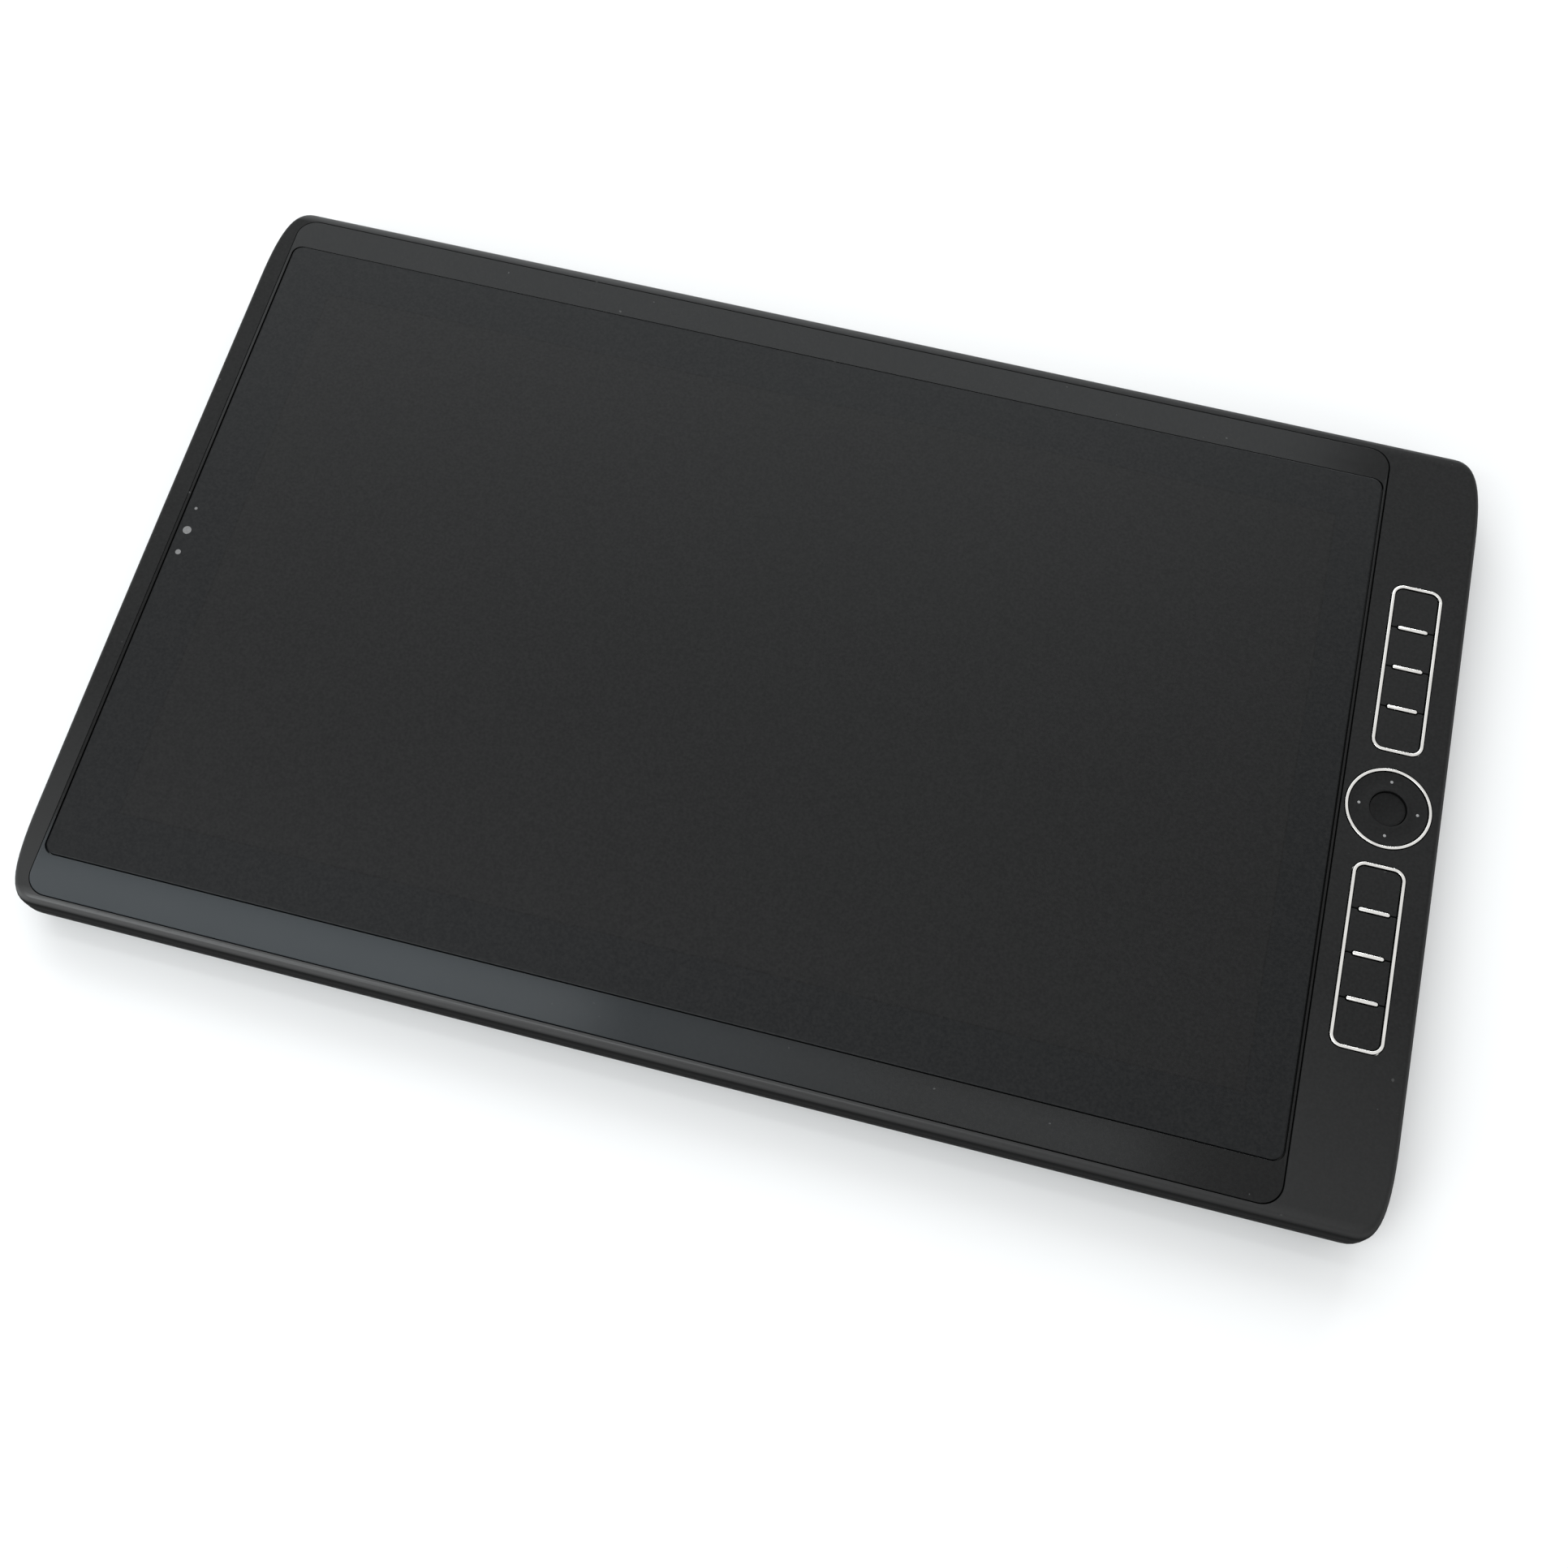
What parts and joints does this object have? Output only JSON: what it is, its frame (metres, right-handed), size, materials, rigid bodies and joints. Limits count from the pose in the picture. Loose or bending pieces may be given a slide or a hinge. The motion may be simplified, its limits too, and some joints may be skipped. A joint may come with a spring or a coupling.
{
  "type": "pen drawing tablet",
  "caption": "Flat pen computer with a large etched-glass display and a column of press keys around a tilting rocker ring, in a two-part housing on rubber feet.",
  "frame": {"origin": "centre of the footprint on the surface the feet rest on", "axes": "+X to the key column at the right, +Y to the edge furthest from the person drawing, +Z out of the screen"},
  "size_m": [0.419, 0.2598, 0.0221],
  "materials": {
    "housing": "fine-grained charcoal black",
    "bezel": "smooth satin black",
    "cover_glass": "etched anti-glare, display off",
    "display": "satin",
    "circuit_board": "solder mask, satin",
    "magnesium_frame": "cast, satin",
    "battery_foil": "wrapped foil pouch",
    "black_plastic": "moulded",
    "copper": "bare copper",
    "bright_trim": "polished",
    "keys": "satin black",
    "edge_buttons": "satin black",
    "steel": "satin",
    "rubber_feet": "moulded rubber",
    "camera_glass": "smoked"
  },
  "bodies": {
    "body": {"rear_cover": "housing", "top_housing": "housing", "front_bezel": "bezel", "cover_glass": "cover_glass", "lcd_module": "display", "pen_sensor_board": "circuit_board", "main_board": "circuit_board", "key_board": "circuit_board", "chassis_frame": "magnesium_frame", "battery_1": "battery_foil", "battery_2": "battery_foil", "fan_housing": "black_plastic", "speaker_left": "black_plastic", "speaker_right": "black_plastic", "front_camera_module": "black_plastic", "headphone_jack": "black_plastic", "heat_sink": "copper", "heat_pipe": "copper", "heat_spreader": "copper", "upper_key_trim": "bright_trim", "lower_key_trim": "bright_trim", "rocker_trim": "bright_trim", "divider_bar_1": "bright_trim", "divider_bar_2": "bright_trim", "divider_bar_3": "bright_trim", "divider_bar_4": "bright_trim", "divider_bar_5": "bright_trim", "divider_bar_6": "bright_trim", "usb_c_port_1": "steel", "usb_c_port_2": "steel", "usb_c_port_3": "steel", "card_slot": "steel", "cover_screw_1": "steel", "cover_screw_2": "steel", "cover_screw_3": "steel", "cover_screw_4": "steel", "cover_screw_5": "steel", "cover_screw_6": "steel", "foot_1": "rubber_feet", "foot_2": "rubber_feet", "foot_3": "rubber_feet", "foot_4": "rubber_feet", "rear_camera_window": "camera_glass"},
    "fan_rotor": {"fan_rotor": "black_plastic"},
    "rocker_gimbal": {"rocker_gimbal": "black_plastic"},
    "key_1": {"key_1": "keys"},
    "key_2": {"key_2": "keys"},
    "key_3": {"key_3": "keys"},
    "key_4": {"key_4": "keys"},
    "key_5": {"key_5": "keys"},
    "key_6": {"key_6": "keys"},
    "key_7": {"key_7": "keys"},
    "key_8": {"key_8": "keys"},
    "rocker_ring": {"rocker_ring": "keys"},
    "home_button": {"home_button": "keys"},
    "volume_up_button": {"volume_up_button": "edge_buttons"},
    "volume_down_button": {"volume_down_button": "edge_buttons"},
    "rotation_lock_slider": {"rotation_lock_slider": "edge_buttons"},
    "power_button": {"power_button": "edge_buttons"}
  },
  "joints": [
    {"name": "key_1_press", "type": "slide", "parent": "body", "child": "key_1", "axis": [0, 0, -1], "range_m": [0, 0.0005], "stiffness_N_per_m": 1200, "springref_m": -0.0002},
    {"name": "key_2_press", "type": "slide", "parent": "body", "child": "key_2", "axis": [0, 0, -1], "range_m": [0, 0.0005], "stiffness_N_per_m": 1200, "springref_m": -0.0002},
    {"name": "key_3_press", "type": "slide", "parent": "body", "child": "key_3", "axis": [0, 0, -1], "range_m": [0, 0.0005], "stiffness_N_per_m": 1200, "springref_m": -0.0002},
    {"name": "key_4_press", "type": "slide", "parent": "body", "child": "key_4", "axis": [0, 0, -1], "range_m": [0, 0.0005], "stiffness_N_per_m": 1200, "springref_m": -0.0002},
    {"name": "key_5_press", "type": "slide", "parent": "body", "child": "key_5", "axis": [0, 0, -1], "range_m": [0, 0.0005], "stiffness_N_per_m": 1200, "springref_m": -0.0002},
    {"name": "key_6_press", "type": "slide", "parent": "body", "child": "key_6", "axis": [0, 0, -1], "range_m": [0, 0.0005], "stiffness_N_per_m": 1200, "springref_m": -0.0002},
    {"name": "key_7_press", "type": "slide", "parent": "body", "child": "key_7", "axis": [0, 0, -1], "range_m": [0, 0.0005], "stiffness_N_per_m": 1200, "springref_m": -0.0002},
    {"name": "key_8_press", "type": "slide", "parent": "body", "child": "key_8", "axis": [0, 0, -1], "range_m": [0, 0.0005], "stiffness_N_per_m": 1200, "springref_m": -0.0002},
    {"name": "home_button_press", "type": "slide", "parent": "body", "child": "home_button", "axis": [0, 0, -1], "range_m": [0, 0.0005], "stiffness_N_per_m": 1200, "springref_m": -0.0002},
    {"name": "rocker_tilt_x", "type": "hinge", "parent": "body", "child": "rocker_gimbal", "pos_m": [0.19235, 0.0005, 0.0168], "axis": [1, 0, 0], "range_deg": [-2.5, 2.5], "stiffness_Nm_per_rad": 0.3},
    {"name": "rocker_tilt_y", "type": "hinge", "parent": "rocker_gimbal", "child": "rocker_ring", "pos_m": [0.19235, 0.0005, 0.0188], "axis": [0, 1, 0], "range_deg": [-2.5, 2.5], "stiffness_Nm_per_rad": 0.3},
    {"name": "power_button_press", "type": "slide", "parent": "body", "child": "power_button", "axis": [0, -1, 0], "range_m": [0, 0.0006], "stiffness_N_per_m": 1200, "springref_m": -0.0002},
    {"name": "volume_up_button_press", "type": "slide", "parent": "body", "child": "volume_up_button", "axis": [0, -1, 0], "range_m": [0, 0.0006], "stiffness_N_per_m": 1200, "springref_m": -0.0002},
    {"name": "volume_down_button_press", "type": "slide", "parent": "body", "child": "volume_down_button", "axis": [0, -1, 0], "range_m": [0, 0.0006], "stiffness_N_per_m": 1200, "springref_m": -0.0002},
    {"name": "rotation_lock_slide", "type": "slide", "parent": "body", "child": "rotation_lock_slider", "axis": [1, 0, 0], "range_m": [0, 0.003]},
    {"name": "fan_spin", "type": "hinge", "parent": "body", "child": "fan_rotor", "pos_m": [-0.15, 0.07, 0.008], "axis": [0, 0, 1], "continuous": true}
  ]
}
